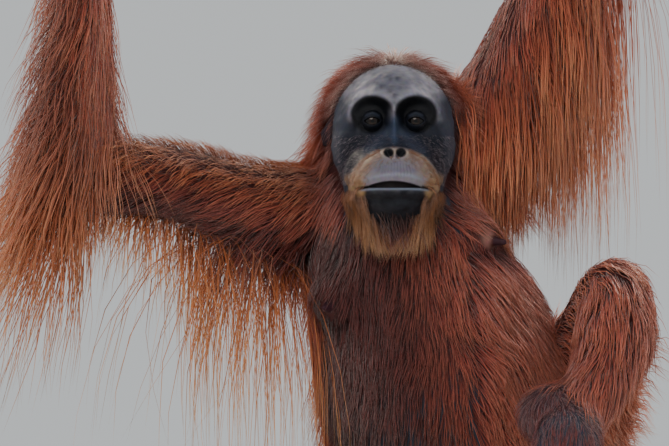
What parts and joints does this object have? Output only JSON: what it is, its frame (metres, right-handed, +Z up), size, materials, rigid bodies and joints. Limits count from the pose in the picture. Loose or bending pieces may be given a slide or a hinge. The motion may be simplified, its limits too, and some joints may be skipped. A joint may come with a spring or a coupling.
{
  "type": "orangutan",
  "caption": "Life-size still model of a female orangutan hanging by its arms from cut branches, its feet on a sloping branch, on a plain display stand.",
  "frame": {"origin": "centre of the underside of the stand's base board", "axes": "+Z up; the face looks along -Y; +X is the animal's left side, the right-hand side of the picture"},
  "size_m": [0.8549, 0.5981, 1.6662],
  "materials": {
    "coat": "long coarse reddish-orange hair over dark skin",
    "skin": "bare or thinly haired slate-grey skin, finely wrinkled",
    "nail": "dark horn, satin",
    "eye": "dark brown iris, wet gloss",
    "bark": "grey-green bark with pale cut ends",
    "board": "pale hardwood, clear satin lacquer",
    "steel": "brushed stainless steel"
  },
  "bodies": {
    "root": {"head": "coat", "neck": "coat", "chest": "coat", "belly": "coat", "rump": "coat", "upper_arm_left": "coat", "upper_arm_right": "coat", "forearm_left": "coat", "forearm_right": "coat", "thigh_left": "coat", "thigh_right": "coat", "shin_left": "coat", "shin_right": "coat", "ear_left": "skin", "ear_right": "skin", "nipple_left": "skin", "nipple_right": "skin", "hand_left": "skin", "hand_right": "skin", "finger_left_index": "skin", "finger_left_middle": "skin", "finger_left_ring": "skin", "finger_left_little": "skin", "finger_right_index": "skin", "finger_right_middle": "skin", "finger_right_ring": "skin", "finger_right_little": "skin", "thumb_left": "skin", "thumb_right": "skin", "foot_left": "skin", "foot_right": "skin", "toe_left_second": "skin", "toe_left_third": "skin", "toe_left_fourth": "skin", "toe_left_fifth": "skin", "toe_right_second": "skin", "toe_right_third": "skin", "toe_right_fourth": "skin", "toe_right_fifth": "skin", "great_toe_left": "skin", "great_toe_right": "skin", "eye_left": "eye", "eye_right": "eye", "perch_feet": "bark", "perch_left_hand": "bark", "perch_right_hand": "bark", "stand_base": "board", "stand_rod_rump": "steel", "stand_rod_branch": "steel"}
  },
  "joints": []
}
